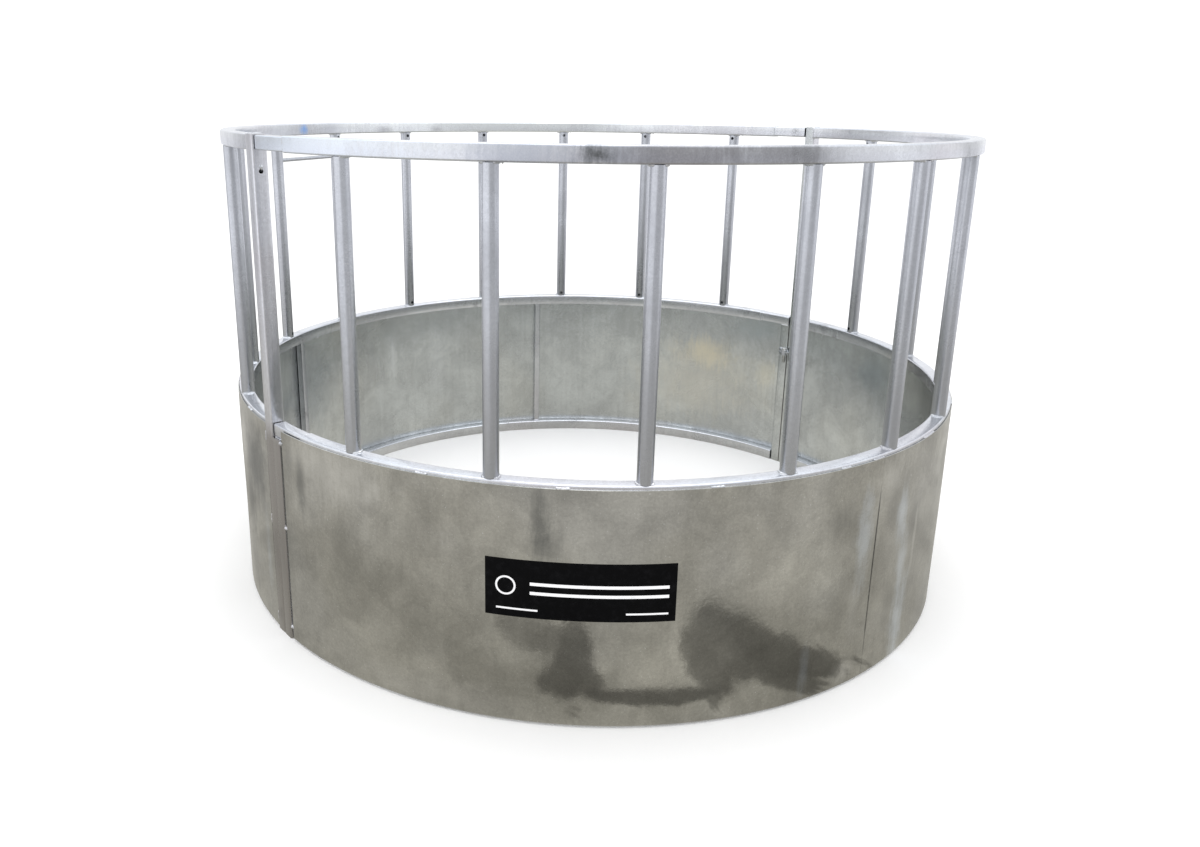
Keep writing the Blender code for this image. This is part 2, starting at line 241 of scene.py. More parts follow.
# The rings' outer faces: painted reflections in bluish, mauve and dusk tones, and a dark spot at 48 degrees
# on the front
RING_OUTER_PAINTED_REFLECTIONS = {
    "front": (
        ((8.0, 1.200), (26.0, 0.300), BLUE_TONE, 0.85),
        ((40.5, 1.200), (9.5, 0.300), MAUVE_TONE, 1.00),
        ((50.0, 1.200), (6.0, 0.300), MAUVE_TONE, 0.80),
        ((48.0, 1.196), (2.8, 0.026), DARK_TONE, 1.00),
        ((57.0, 1.200), (9.0, 0.300), DUSK_TONE, 0.80),
        ((67.5, 1.200), (9.0, 0.300), DUSK_TONE, 0.75),
        ((71.0, 1.200), (3.0, 0.050), DARK_TONE, 0.40),
    ),
    "back": (
        ((30.0, 1.200), (9.0, 0.300), MAUVE_TONE, 0.60),
        ((96.0, 1.200), (14.0, 0.300), MAUVE_TONE, 0.70),
        ((140.0, 1.200), (20.0, 0.300), BLUE_TONE, 0.50),
    ),
}
# The rings' inner faces: painted light, with a broad pale brightening and a blue painted glint on the back
# ring, and bluish and dusk painted reflections
RING_INNER_PAINTED_REFLECTIONS = {
    "front": (((120.0, 1.200), (16.0, 0.300), BLUE_TONE, 0.60),),
    "back": (
        ((70.0, 1.200), (55.0, 0.400), (0.97, 1.0, 1.0), 1.00),
        ((112.0, 1.200), (4.5, 0.050), MAUVE_TONE, 0.50),
        ((119.5, 1.199), (1.7, 0.024), (0.30, 0.52, 0.95), 1.00),
        ((97.0, 1.190), (2.5, 0.018), DUSK_TONE, 0.60),
        ((84.0, 1.190), (2.0, 0.016), DUSK_TONE, 0.50),
    ),
}

# The glowing ground that only the metal mirrors, painted darker or paler in patches for painted reflections:
# place, reach, turn in degrees, strength
GROUND_DARKS = (
    ((-1.065, -0.868), (0.18, 0.090), -37.0, 0.42),
    ((-0.865, -0.918), (0.18, 0.075), 40.0, 0.58),
    ((-0.810, -0.845), (0.12, 0.075), -35.0, 0.55),
    ((-0.610, -0.927), (0.26, 0.034), -30.0, 0.62),
    ((-0.485, -1.135), (0.18, 0.070), 62.0, 0.52),
    ((-0.430, -1.230), (0.17, 0.120), 50.0, 0.54),
    ((-0.290, -1.235), (0.34, 0.112), 35.0, 0.58),
    ((-0.215, -1.075), (0.12, 0.060), 35.0, 0.50),
)
GROUND_LIGHTS = (
    ((-0.68, -1.05), (0.20, 0.10), -30.0, 0.16),
    ((-0.33, -0.99), (0.10, 0.05), -25.0, 0.18),
    ((0.05, -1.55), (0.35, 0.16), 0.0, 0.16),
)


# ---------------------------------------------------------------- materials


def add_node(tree, kind, inputs=None, **settings):
    node = tree.nodes.new("ShaderNode" + kind)
    for key, value in settings.items():
        setattr(node, key, value)
    for key, value in (inputs or {}).items():
        if isinstance(value, bpy.types.NodeSocket):
            tree.links.new(value, node.inputs[key])
        else:
            node.inputs[key].default_value = value
    return node


def maths(tree, operation, first, second=0.0, third=0.0, clamp=False):
    node = add_node(tree, "Math", {0: first, 1: second, 2: third}, operation=operation, use_clamp=clamp)
    return node.outputs[0]


def cloud(tree, vector, scale, detail=4.0, roughness=0.55, distortion=0.0):
    inputs = {"Vector": vector, "Scale": scale, "Detail": detail, "Roughness": roughness}
    inputs["Distortion"] = distortion
    return add_node(tree, "TexNoise", inputs).outputs["Fac"]


def stretched(tree, vector, scale):
    return add_node(tree, "Mapping", {"Vector": vector, "Scale": scale}).outputs["Vector"]


def spread(tree, value, low, high, out_low=0.0, out_high=1.0):
    inputs = {"Value": value, "From Min": low, "From Max": high, "To Min": out_low, "To Max": out_high}
    return add_node(tree, "MapRange", inputs, interpolation_type="SMOOTHSTEP").outputs["Result"]


def blend(tree, amount, first, second, mode="MIX"):
    node = add_node(tree, "Mix", data_type="RGBA", blend_type=mode)
    for key, value in ((0, amount), (6, first), (7, second)):
        if isinstance(value, bpy.types.NodeSocket):
            tree.links.new(value, node.inputs[key])
        else:
            node.inputs[key].default_value = (*value, 1.0) if isinstance(value, tuple) else value
    return node.outputs[2]


def band(tree, value, centre, half_width, soft):
    """1 within half_width of the centre, fading to 0 over the soft edge."""
    off = maths(tree, "ABSOLUTE", maths(tree, "SUBTRACT", value, centre))
    return spread(tree, off, half_width, half_width + soft, 1.0, 0.0)


def azimuth_degrees(tree, vector, zero):
    """Degrees about Z, from 0 to 360, counted from the zero direction, with the vector's parts."""
    parts = add_node(tree, "SeparateXYZ", {0: vector}).outputs
    angle = maths(tree, "DEGREES", maths(tree, "ARCTAN2", parts[1], parts[0]))
    return maths(tree, "MODULO", maths(tree, "ADD", angle, 720.0 - zero), 360.0), parts


def new_material(name):
    material = bpy.data.materials.new(name)
    material.use_nodes = True
    tree = material.node_tree
    place = add_node(tree, "TexCoord").outputs["Object"]
    return material, tree, tree.nodes["Principled BSDF"], place


def finish_surface(tree, shader, colour, rough, height, depth, metallic=1.0):
    tree.links.new(colour, shader.inputs["Base Color"])
    tree.links.new(rough, shader.inputs["Roughness"])
    shader.inputs["Metallic"].default_value = metallic
    bump = add_node(tree, "Bump", {"Height": height, "Distance": depth, "Strength": 1.0})
    tree.links.new(bump.outputs["Normal"], shader.inputs["Normal"])


def add_painted_reflections(tree, colour, place, half, marks, compare, limit):
    """Ragged oval painted reflections, highlights and shade along a half, where the radius compares well with
    the limit.
    """
    degrees, parts = azimuth_degrees(tree, place, math.degrees(HALVES[half]))
    drawn = cloud(tree, stretched(tree, place, (95.0, 95.0, 16.0)), 1.0, 4.0, 0.65)
    edge = maths(tree, "MULTIPLY_ADD", drawn, 0.8, cloud(tree, place, 14.0, 4.0, 0.6, 0.5))
    edge = maths(tree, "SUBTRACT", edge, 0.9)
    fleck = spread(tree, cloud(tree, place, 300.0, 3.0, 0.7), 0.30, 0.62, 0.75, 1.0)
    radius = maths(tree, "SQRT", maths(tree, "MULTIPLY_ADD", parts[0], parts[0],
                                       maths(tree, "MULTIPLY", parts[1], parts[1])))
    fleck = maths(tree, "MULTIPLY", fleck, maths(tree, compare, radius, limit))
    for centre, reach, tone, strength in marks:
        across = maths(tree, "DIVIDE", maths(tree, "SUBTRACT", degrees, centre[0]), reach[0])
        along = maths(tree, "DIVIDE", maths(tree, "SUBTRACT", parts[2], centre[1]), reach[1])
        squares = maths(tree, "MULTIPLY_ADD", across, across, maths(tree, "MULTIPLY", along, along))
        far = maths(tree, "MULTIPLY_ADD", edge, 1.1, maths(tree, "SQRT", squares))
        amount = maths(tree, "MULTIPLY", spread(tree, far, 0.05, 1.10, strength, 0.0), fleck)
        colour = blend(tree, amount, colour, tone)
    return colour


def zinc(name, light, dark, tint, rough_low, rough_high, streaks=0.3, half=None, marks=(), smudges=0.0,
         mottle=0.0, foot=None):
    """Hot-dip zinc: soft clouds, fine spangle, runs down the piece, pale specks and small dark smudges.

    Mottle adds uneven dull patches. Foot is the tone that the piece takes on towards its foot, the heights
    between which it comes in and its strength.
    """
    material, tree, shader, place = new_material(name)
    broad = cloud(tree, place, 4.5, 4.0, 0.55, 0.6)
    runs = cloud(tree, stretched(tree, place, (55.0, 55.0, 2.2)), 1.0, 4.0, 0.6)
    spangle = add_node(tree, "TexVoronoi", {"Vector": place, "Scale": 210.0}, feature="F1")
    grain = cloud(tree, place, 1100.0, 3.0, 0.6)
    colour = blend(tree, spread(tree, broad, 0.34, 0.68), dark, light)
    colour = blend(tree, spread(tree, cloud(tree, place, 2.6, 2.0), 0.44, 0.70, 0.0, 0.6), colour, tint)
    colour = blend(tree, streaks, colour, blend(tree, spread(tree, runs, 0.35, 0.65), dark, light))
    flake = spread(tree, spangle.outputs["Color"], 0.0, 1.0, 0.95, 1.04)
    colour = blend(tree, 1.0, colour, flake, "MULTIPLY")
    colour = blend(tree, 1.0, colour, spread(tree, grain, 0.3, 0.7, 0.95, 1.04), "MULTIPLY")
    specks = spread(tree, cloud(tree, place, 260.0, 2.0), 0.69, 0.75, 0.0, 0.6)
    colour = blend(tree, specks, colour, SPECK_TONE)
    if mottle:
        bright = 1.0 + mottle / 2
        dull = spread(tree, cloud(tree, place, 12.0, 7.0, 0.68, 0.9), 0.36, 0.62, 1.0 - mottle, bright)
        colour = blend(tree, 1.0, colour, dull, "MULTIPLY")
        fine = spread(tree, cloud(tree, place, 150.0, 5.0, 0.75), 0.35, 0.65, 1.0 - mottle / 2, bright)
        colour = blend(tree, 1.0, colour, fine, "MULTIPLY")
    if foot:
        height = add_node(tree, "SeparateXYZ", {0: place}).outputs[2]
        tone, low, high, strength = foot
        colour = blend(tree, spread(tree, height, low, high, strength, 0.0), colour, tone)
    if smudges:
        patch = spread(tree, cloud(tree, place, 9.0, 3.0), 0.62, 0.74)
        fleck = spread(tree, cloud(tree, place, 280.0, 4.0, 0.7), 0.40, 0.62)
        amount = maths(tree, "MULTIPLY", maths(tree, "MULTIPLY", patch, fleck), smudges)
        colour = blend(tree, amount, colour, SMUDGE_TONE)
    # Painted reflections, highlights and shade laid over the zinc
    for places, compare, limit in marks:
        colour = add_painted_reflections(tree, colour, place, half, places, compare, limit)
    uneven = maths(tree, "MULTIPLY_ADD", grain, 0.30, broad)
    rough = spread(tree, uneven, 0.42, 0.84, rough_high, rough_low)
    lumps = maths(tree, "MULTIPLY", grain, 0.10)
    lumps = maths(tree, "MULTIPLY_ADD", cloud(tree, place, 70.0, 2.0), 0.8, lumps)
    lumps = maths(tree, "MULTIPLY_ADD", runs, 0.5, lumps)
    finish_surface(tree, shader, colour, rough, lumps, RELIEF_DEPTH)
    return material


def label_film(name, degrees_middle, radius, height_middle, length, height):
    """Black satin vinyl with a plain pale device: a ring, a double rule and two short rules."""
    material, tree, shader, place = new_material(name)
    degrees, parts = azimuth_degrees(tree, place, math.degrees(HALVES["front"]))
    along = maths(tree, "MULTIPLY", maths(tree, "SUBTRACT", degrees, degrees_middle), math.radians(radius))
    up = maths(tree, "SUBTRACT", parts[2], height_middle)
    from_ring_x = maths(tree, "ADD", along, LABEL_RING_LEFT * length)
    from_ring_y = maths(tree, "SUBTRACT", up, LABEL_RING_RISE * height)
    squares = maths(tree, "ADD", maths(tree, "MULTIPLY", from_ring_x, from_ring_x),
                    maths(tree, "MULTIPLY", from_ring_y, from_ring_y))
    ink = band(tree, maths(tree, "SQRT", squares), LABEL_RING_SIZE * height, LABEL_LINE, LABEL_SOFT)
    for middle, half_length, level, weight in LABEL_RULES:
        lengthways = band(tree, along, middle * length, half_length * length, LABEL_SOFT)
        across = band(tree, up, level * height, weight * LABEL_LINE, LABEL_SOFT)
        ink = maths(tree, "MAXIMUM", ink, maths(tree, "MULTIPLY", lengthways, across))
    dust = spread(tree, cloud(tree, place, 60.0, 5.0, 0.65), 0.45, 0.80)
    scuffs = spread(tree, cloud(tree, stretched(tree, place, (400.0, 400.0, 30.0)), 1.0, 3.0), 0.60, 0.75)
    film = blend(tree, dust, *FILM_TONES)
    print_tone = blend(tree, dust, *PRINT_TONES)
    colour = blend(tree, ink, film, print_tone)
    rough = maths(tree, "MULTIPLY_ADD", scuffs, 0.15, 0.40)
    finish_surface(tree, shader, colour, rough, dust, FILM_RELIEF, metallic=0.0)
    shader.inputs["Specular IOR Level"].default_value = FILM_GLOSS
    return material


MATERIALS = {
    "box": zinc("zinc_box", (0.78, 0.80, 0.83), (0.62, 0.63, 0.66), (0.70, 0.66, 0.69), 0.18, 0.32,
                0.25, smudges=0.6),
    "post": zinc("zinc_post", (0.82, 0.83, 0.86), (0.62, 0.61, 0.63), (0.70, 0.65, 0.66), 0.20, 0.34,
                 0.45, smudges=0.45, foot=((0.37, 0.35, 0.33), 0.505, 0.560, 0.85)),
    "tube": zinc("zinc_tube", (0.71, 0.73, 0.77), (0.53, 0.545, 0.58), (0.64, 0.645, 0.69), 0.24, 0.36,
                 0.45, smudges=0.30, foot=((0.38, 0.385, 0.39), 0.560, 1.080, 0.50)),
    "weld": zinc("zinc_weld", (0.84, 0.86, 0.88), (0.58, 0.59, 0.61), (0.74, 0.71, 0.73), 0.24, 0.42, 0.0,
                 smudges=0.3),
    "pin": zinc("zinc_pin", (0.66, 0.66, 0.64), (0.48, 0.48, 0.47), (0.56, 0.54, 0.48), 0.18, 0.30, 0.2),
}
for half in HALVES:
    # Rings and skirts carry the painted reflections, highlights and seam shade from the tables above
    MATERIALS[f"{half}_ring"] = zinc(
        f"zinc_ring_{half}", (0.80, 0.82, 0.85), (0.66, 0.67, 0.70), (0.74, 0.70, 0.73),
        0.16, 0.30, 0.25, half, ((RING_OUTER_PAINTED_REFLECTIONS[half], "GREATER_THAN", RING_OUTER_FACE),
                                 (RING_INNER_PAINTED_REFLECTIONS[half], "LESS_THAN", RING_INNER_FACE)), smudges=0.6)
    MATERIALS[f"{half}_outside"] = zinc(
        f"zinc_skirt_outside_{half}", (0.60, 0.59, 0.545), (0.47, 0.46, 0.42), (0.54, 0.54, 0.53),
        0.07, 0.16, 0.16, half, ((OUTSIDE_PAINTED_REFLECTIONS[half], "GREATER_THAN", 0.0),), mottle=0.09)
    # The skirt's inside is a lighter copy of the same zinc: painted light
    MATERIALS[f"{half}_inside"] = zinc(
        f"zinc_skirt_inside_{half}", (0.72, 0.75, 0.755), (0.58, 0.60, 0.60), (0.66, 0.66, 0.62),
        0.18, 0.32, 0.28, half, ((INSIDE_PAINTED_REFLECTIONS[half], "GREATER_THAN", 0.0),), mottle=0.08)


# ---------------------------------------------------------------- geometry helpers


def span_of(node):
    """(inner radius, outer radius, bottom, top, start angle, end angle) of a rolled frame piece."""
    turn = HALVES[node.split("_")[0]]
    points = [v.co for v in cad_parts[node].data.vertices]
    radii = [p.xy.length for p in points]
    turned = [(math.atan2(p.y, p.x) - turn) % math.tau for p in points]
    low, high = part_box(node)
    return min(radii), max(radii), low.z, high.z, turn + min(turned), turn + max(turned)


def rounded_box(width, height, radius):
    """A rectangle with round corners, centred on zero, anticlockwise."""
    points = []
    for corner in range(4):
        across = (width / 2 - radius) * (1 if corner in (0, 3) else -1)
        along = (height / 2 - radius) * (1 if corner in (0, 1) else -1)
        for i in range(CORNER_STEPS + 1):
            angle = math.pi / 2 * (corner + i / CORNER_STEPS)
            points.append((across + radius * math.cos(angle), along + radius * math.sin(angle)))
    return points


def on_circle(radius, angle, height):
    return Vector((radius * math.cos(angle), radius * math.sin(angle), height))


def join_rows(shape, rows, closed=False):
    """Skins a list of vertex loops; closed also joins the last loop to the first."""
    pairs = list(zip(rows, rows[1:]))
    if closed:
        pairs.append((rows[-1], rows[0]))
    for one, other in pairs:
        for i in range(len(one)):
            j = (i + 1) % len(one)
            shape.faces.new((one[i], one[j], other[j], other[i]))


def make_piece(name, shape, material, node=None, more_materials=(), body=BODY):
    """Turns a bmesh into a piece that rides on its body and may stand for a frame node."""
    bmesh.ops.recalc_face_normals(shape, faces=shape.faces)
    mesh = bpy.data.meshes.new(name)
    shape.to_mesh(mesh)
    shape.free()
    for kind in (material, *more_materials):
        mesh.materials.append(MATERIALS[kind])
    mesh.shade_smooth()
    mesh.set_sharp_from_angle(angle=math.radians(SMOOTH_DEG))
    piece = bpy.data.objects.new(name, mesh)
    bpy.context.scene.collection.objects.link(piece)
    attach(piece, body)
    if node:
        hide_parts(node)
    return piece


def line_inner_faces(shape):
    """Gives faces that look towards the ring's axis the second material."""
    bmesh.ops.recalc_face_normals(shape, faces=shape.faces)
    for face in shape.faces:
        centre = face.calc_center_median()
        if face.normal.xy.dot(centre.xy) < -0.7 * centre.xy.length:
            face.material_index = 1


def roll_hollow(node, material, corner):
    """A rolled hollow section with round corners, open at its ends."""
    inner, outer, bottom, top, start, end = span_of(node)
    middle = Vector(((inner + outer) / 2, (bottom + top) / 2))
    width, height = outer - inner, top - bottom
    skins = [rounded_box(width, height, corner),
             rounded_box(width - 2 * WALL, height - 2 * WALL, corner - WALL)]
    steps = math.ceil((end - start) / ARC_STEP)
    shape = bmesh.new()
    loops = []
    for skin in skins:
        rows = []
        for i in range(steps + 1):
            angle = start + (end - start) * i / steps
            rows.append([shape.verts.new(on_circle(middle.x + u, angle, middle.y + v)) for u, v in skin])
        join_rows(shape, rows)
        loops.append(rows)
    for end_row in (0, -1):
        join_rows(shape, [loops[0][end_row], loops[1][end_row]])
    return make_piece(f"{node}_rolled", shape, material, node)


def cut_holes(piece, cutters):
    """Cuts round holes: each cutter is (centre, direction, radius, length)."""
    shape = bmesh.new()
    for centre, direction, radius, length in cutters:
        turn = direction.to_track_quat("Z", "Y").to_matrix().to_4x4()
        bmesh.ops.create_cone(shape, cap_ends=True, segments=VENT_SIDES, radius1=radius, radius2=radius,
                              depth=length, matrix=Matrix.Translation(centre) @ turn)
    mesh = bpy.data.meshes.new("cutter")
    shape.to_mesh(mesh)
    shape.free()
    cutter = bpy.data.objects.new("cutter", mesh)
    bpy.context.scene.collection.objects.link(cutter)
    cut = piece.modifiers.new("holes", "BOOLEAN")
    cut.operation = "DIFFERENCE"
    cut.object = cutter
    bpy.context.view_layer.update()
    graph = bpy.context.evaluated_depsgraph_get()
    result = bpy.data.meshes.new_from_object(piece.evaluated_get(graph))
    piece.modifiers.clear()
    piece.data = result
    piece.data.shade_smooth()
    piece.data.set_sharp_from_angle(angle=math.radians(SMOOTH_DEG))
    bpy.data.objects.remove(cutter)
    bpy.data.meshes.remove(mesh)


def spaced(points, closed):
    """The same path with a point every bead spacing."""
    corners = points + [points[0]] if closed else points
    path = []
    for one, other in zip(corners, corners[1:]):
        steps = max(1, round((other - one).length / BEAD_SPACING))
        path += [one.lerp(other, i / steps) for i in range(steps)]
    return path if closed else path + [points[-1]]


def add_bead(shape, points, normal, radius, closed=False, ends=1.0):
    """A lumpy weld bead; ends above 1 fattens it towards its two ends, where it then tapers off."""
    path = spaced(points, closed)
    count = len(path)
    rows = []
    for i, point in enumerate(path):
        before = path[i - 1] if closed or i else point
        after = path[(i + 1) % count] if closed or i < count - 1 else point
        side = (after - before).cross(normal).normalized()
        lumps = 1.0 + 0.14 * math.sin(2.1 * i) + 0.35 * noise.noise(point * 160.0)
        size = radius * lumps
        if not closed:
            share = abs(2.0 * i / max(count - 1, 1) - 1.0)
            size *= (1.0 + (ends - 1.0) * share ** 3) * max(1.0 - share ** 8, 0.05) ** 0.5
        turns = [math.tau * k / BEAD_SIDES for k in range(BEAD_SIDES)]
        loop = [point + size * (math.cos(a) * side + math.sin(a) * normal) for a in turns]
        rows.append([shape.verts.new(p) for p in loop])
    join_rows(shape, rows, closed)
    if not closed:
        shape.faces.new(rows[0])
        shape.faces.new(rows[-1])


def add_drop(shape, place, radius, length):
    """A bead of zinc that hangs from its place."""
    made = bmesh.ops.create_uvsphere(shape, u_segments=10, v_segments=8, radius=1.0)
    for vert in made["verts"]:
        point = vert.co.copy()
        lump = 1.0 + 0.25 * noise.noise(point * 1.7 + place * 300.0)
        taper = 1.0 + 0.35 * point.z
        across = radius * taper
        vert.co = place + Vector((point.x * across, point.y * across, point.z * length)) * lump


# ---------------------------------------------------------------- pieces


def make_rings(half):
    for level in ("top", "mid", "low"):
        roll_hollow(f"{half}_{level}_ring", f"{half}_ring", CORNER_RADIUS)
    for level in ("top", "mid"):
        roll_hollow(f"{half}_{level}_end_piece", f"{half}_ring", END_PIECE_CORNER)


def make_post(node, capped, half):
    """A straight square tube that stands on the floor; its inner face takes the skirt's inside material, a
    lighter copy of the zinc with painted light and reflections.
    """
    low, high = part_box(node)
    centre = (low + high) / 2
    width, depth = high.x - low.x, high.y - low.y
    skins = [rounded_box(width, depth, CORNER_RADIUS),
             rounded_box(width - 2 * WALL, depth - 2 * WALL, CORNER_RADIUS - WALL)]
    tops = (high.z, high.z - WALL) if capped else (high.z, high.z)
    shape = bmesh.new()
    loops = []
    for skin, top in zip(skins, tops):
        rows = []
        for height in (low.z, top):
            rows.append([shape.verts.new((centre.x + u, centre.y + v, height)) for u, v in skin])
        join_rows(shape, rows)
        loops.append(rows)
    join_rows(shape, [loops[0][0], loops[1][0]])
    if capped:
        cap = shape.faces.new(loops[0][1])
        shape.faces.new(list(reversed(loops[1][1])))
        bmesh.ops.bevel(shape, geom=cap.edges, offset=CAP_BEVEL, segments=2, affect="EDGES")
    else:
        join_rows(shape, [loops[0][1], loops[1][1]])
    line_inner_faces(shape)
    return make_piece(f"{node}_post", shape, "post", node, more_materials=(f"{half}_inside",))


def upright_vent(half):
    """The vent's centre on the post's face and the way it faces."""
    low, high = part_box(f"{half}_upright")
    side = 1 if half == "front" else -1
    face = high.y if half == "front" else low.y
    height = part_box(f"{half}_top_ring")[0].z - UPRIGHT_VENT_BELOW_RING
    return Vector(((low.x + high.x) / 2, face, height)), Vector((0.0, side, 0.0))


def make_posts(half):
    upright = make_post(f"{half}_upright", True, half)
    vent, facing = upright_vent(half)
    cut_holes(upright, [(vent, facing, VENT_RADIUS, 4 * WALL)])
    make_post(f"{half}_end_bar", False, half)


def bar_axis(node):
    """The bar's lowest and highest points on its own axis, and its radius."""
    low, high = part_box(node)
    axis = ((low + high) / 2).xy
    radius = max((v.co.xy - axis).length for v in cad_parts[node].data.vertices)
    return Vector((*axis, low.z)), Vector((*axis, high.z)), radius


def make_bars(half):
    for number in range(1, BAR_COUNT + 1):
        node = f"{half}_feed_bar_{number}"
        foot, head, radius = bar_axis(node)
        inward = Vector((-foot.x, -foot.y, 0.0)).normalized()
        shape = bmesh.new()
        skins = []
        for size in (radius, radius - BAR_WALL):
            rows = []
            for height in (foot.z, foot.z + BAR_END, (foot.z + head.z) / 2, head.z - BAR_END, head.z):
                turns = [math.tau * i / BAR_SIDES for i in range(BAR_SIDES)]
                middle = Vector((foot.x, foot.y, 0.0))
                rows.append([shape.verts.new(middle + on_circle(size, turn, height)) for turn in turns])
            join_rows(shape, rows)
            skins.append(rows)
        for row in (0, -1):
            join_rows(shape, [skins[0][row], skins[1][row]])
        bar = make_piece(f"{node}_tube", shape, "tube", node)
        wall = inward * (radius - BAR_WALL / 2)
        vents = [foot + Vector((0, 0, VENT_FROM_END)), head - Vector((0, 0, VENT_FROM_END))]
        cut_holes(bar, [(vent + wall, inward, VENT_RADIUS, 4 * BAR_WALL) for vent in vents])


def sheet_wave(angle, height, bottom, top):
    """How far the sheet stands off its true arc: nothing at its welded edges."""
    share = min(max((height - bottom) / (top - bottom), 0.0), 1.0)
    swell = noise.noise(Vector((math.cos(angle) * 2.2, math.sin(angle) * 2.2, height * 2.5)))
    ripple = noise.noise(Vector((math.cos(angle) * 6.0, math.sin(angle) * 6.0, height * 4.0 + 7.0)))
    return SHEET_WAVE * max(math.sin(math.pi * share), 0.0) ** 0.5 * (swell + 0.35 * ripple)


def make_sheets(half):
    """The skirt sheets, a little wavy between their welds; the inner side takes a lighter copy of the zinc,
    with painted light and reflections.
    """
    for which in ("first", "second"):
        node = f"{half}_{which}_skirt_sheet"
        inner, outer, bottom, top, start, end = span_of(node)
        if which == "first":
            end += SEAM_FILL / outer
        steps = math.ceil((end - start) / SHEET_STEP)
        clear = top - bottom - 2 * SHEET_EDGE
        heights = [bottom + SHEET_EDGE + clear * k / SHEET_ROWS for k in range(SHEET_ROWS + 1)]
        shape = bmesh.new()
        rows = []
        for i in range(steps + 1):
            angle = start + (end - start) * i / steps
            waves = [sheet_wave(angle, height, bottom, top) for height in heights]
            loop = [on_circle(outer + wave, angle, height) for wave, height in zip(waves, heights)]
            loop.append(on_circle(outer - SHEET_EDGE, angle, top))
            loop.append(on_circle(inner + SHEET_EDGE, angle, top))
            back = [on_circle(inner + wave, angle, height) for wave, height in zip(waves, heights)]
            loop += reversed(back)
            loop.append(on_circle(inner + SHEET_EDGE, angle, bottom))
            loop.append(on_circle(outer - SHEET_EDGE, angle, bottom))
            rows.append([shape.verts.new(p) for p in loop])
        join_rows(shape, rows)
        shape.faces.new(rows[0])
        shape.faces.new(rows[-1])
        line_inner_faces(shape)
        make_piece(f"{node}_rolled", shape, f"{half}_outside", node, more_materials=(f"{half}_inside",))


def make_stiffeners(half):
    for number in (1, 2):
        node = f"{half}_skirt_stiffener_{number}"
        low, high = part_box(node)
        centre = (low + high) / 2
        size = stiffener_size(node)
        turn = Matrix.Rotation(math.atan2(centre.y, centre.x), 3, "Z")
        shape = bmesh.new()
        loops = []
        for side, radius in ((size, STIFFENER_CORNER), (size - 2 * STIFFENER_WALL, STIFFENER_CORNER / 2)):
            rows = []
            for height in (low.z, high.z):
                middle = Vector((centre.x, centre.y, height))
                outline = rounded_box(side, side, radius)
                rows.append([shape.verts.new(turn @ Vector((u, v, 0.0)) + middle) for u, v in outline])
            join_rows(shape, rows)
            loops.append(rows)
        for row in (0, 1):
            join_rows(shape, [loops[0][row], loops[1][row]])
        make_piece(f"{node}_tube", shape, "box", node)


def stiffener_size(node):
    radii = [v.co.xy.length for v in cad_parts[node].data.vertices]
    low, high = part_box(node)
    return 2 * (max(radii) - ((low + high) / 2).xy.length) * STIFFENER_FIT


def make_lift_rod(half):
    """A plain round rod between two bars, its ends set against them."""
    node = f"{half}_lift_rod"
    points = [v.co.copy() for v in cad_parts[node].data.vertices]
    low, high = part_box(node)
    centre = (low + high) / 2
    along = Vector((-centre.y, centre.x, 0.0)).normalized()
    inward = Vector((-centre.x, -centre.y, 0.0)).normalized()
    half_length = max((p - centre).dot(along) for p in points)
    radius = (high.z - low.z) / 2
    shape = bmesh.new()
    rows = []
    for reach in (-half_length, -half_length / 3, half_length / 3, half_length):
        row = []
        for i in range(ROD_SIDES):
            turn = math.tau * i / ROD_SIDES
            off = radius * (math.cos(turn) * inward + math.sin(turn) * Vector((0, 0, 1)))
            row.append(shape.verts.new(centre + along * reach + off))
        rows.append(row)
    join_rows(shape, rows)
    shape.faces.new(rows[0])
    shape.faces.new(rows[-1])
    make_piece(f"{node}_round", shape, "tube", node)
    welds = bmesh.new()
    for reach in (-half_length, half_length):
        middle = centre + along * reach
        turns = [math.tau * i / ROD_SIDES for i in range(ROD_SIDES)]
        ring = [middle + radius * (math.cos(t) * inward + math.sin(t) * Vector((0, 0, 1))) for t in turns]
        add_bead(welds, ring, along, ROD_BEAD, closed=True)
    make_piece(f"{node}_welds", welds, "weld")


def make_lugs(half):
    """The lugs with their sheared edges eased."""
    for which in ("fork_upper", "fork_lower", "tongue"):
        node = f"{half}_{which}_lug"
        shape = bmesh.new()
        shape.from_mesh(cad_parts[node].data)
        bmesh.ops.remove_doubles(shape, verts=shape.verts, dist=1e-5)
        bmesh.ops.dissolve_limit(shape, angle_limit=math.radians(2), verts=shape.verts, edges=shape.edges)
        sharp = [e for e in shape.edges if len(e.link_faces) == 2 and e.calc_face_angle() > math.radians(60)]
        bmesh.ops.bevel(shape, geom=sharp, offset=LUG_BEVEL, segments=2, affect="EDGES", clamp_overlap=True)
        make_piece(f"{node}_plate", shape, "box", node)


